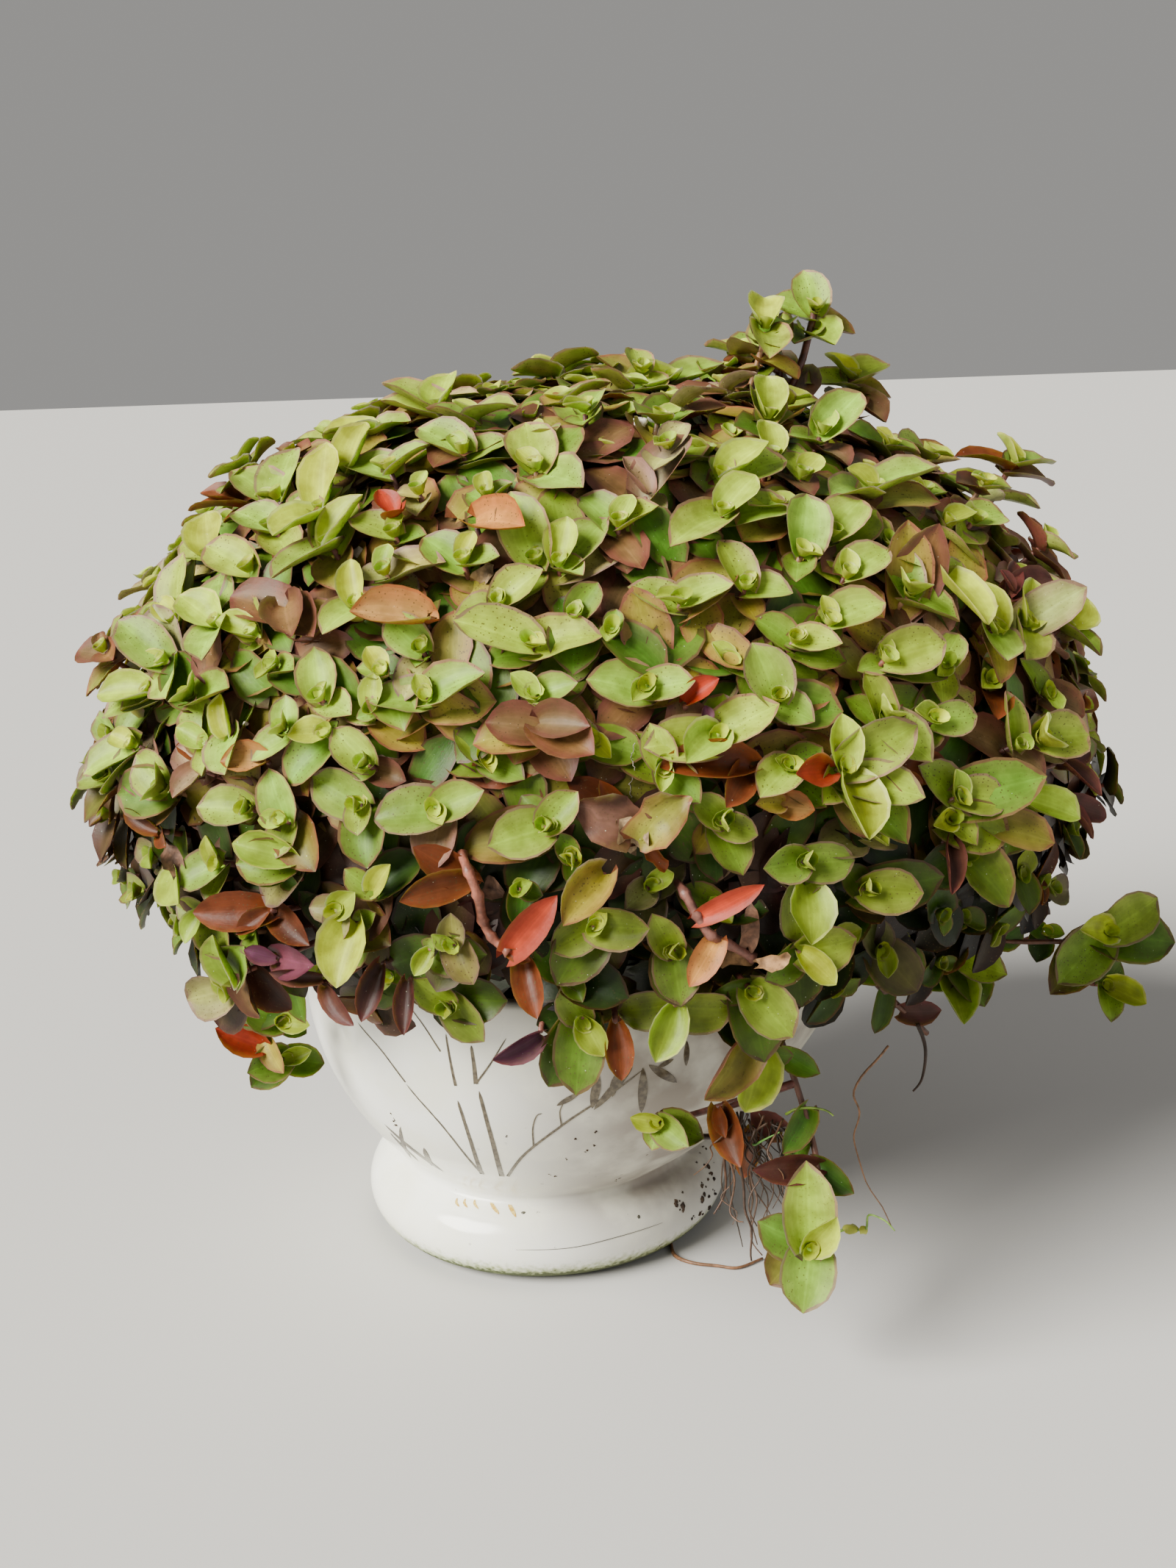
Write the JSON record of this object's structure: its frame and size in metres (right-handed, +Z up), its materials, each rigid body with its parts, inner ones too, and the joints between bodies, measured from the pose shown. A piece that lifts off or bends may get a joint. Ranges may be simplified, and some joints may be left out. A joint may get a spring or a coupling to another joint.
{
  "type": "potted inch plant",
  "caption": "Creeping inch plant: a dense dome of small fleshy leaves with loose trailing shoots, growing in soil in a footed glazed bowl.",
  "frame": {"origin": "on the axis of the bowl's foot, at its flat underside", "axes": "+Z up; -Y is the side that the picture shows, and +X is to the right there"},
  "size_m": [0.2734, 0.2359, 0.2546],
  "materials": {
    "glaze": "gloss white glaze with thin painted bamboo in grey-brown",
    "soil": "loose dark potting soil with crumbs of bark",
    "leaves": "waxy lime-green leaves with a purple margin and underside",
    "trailing_leaves": "waxy green leaves flushed orange and maroon, on brown stems"
  },
  "bodies": {
    "root": {"pot": "glaze", "soil": "soil", "leafy_bunch_01": "leaves", "leafy_bunch_02": "leaves", "leafy_bunch_03": "leaves", "leafy_bunch_04": "leaves", "leafy_bunch_05": "leaves", "leafy_bunch_06": "leaves", "leafy_bunch_07": "leaves", "leafy_bunch_08": "leaves", "leafy_bunch_09": "leaves", "leafy_bunch_10": "leaves", "leafy_bunch_11": "leaves", "leafy_bunch_12": "leaves", "leafy_bunch_13": "leaves", "leafy_bunch_14": "leaves", "leafy_bunch_15": "leaves", "leafy_bunch_16": "leaves", "leafy_bunch_17": "leaves", "leafy_bunch_18": "leaves", "leafy_bunch_19": "leaves", "leafy_bunch_20": "leaves", "leafy_bunch_21": "leaves", "leafy_bunch_22": "leaves", "leafy_bunch_23": "leaves", "leafy_bunch_24": "leaves", "leafy_bunch_25": "leaves", "leafy_bunch_26": "leaves", "leafy_bunch_27": "leaves", "trailing_shoot_right": "trailing_leaves", "hanging_shoot_right": "trailing_leaves", "trailing_shoot_front": "trailing_leaves", "hanging_shoot_left": "trailing_leaves"}
  },
  "joints": []
}
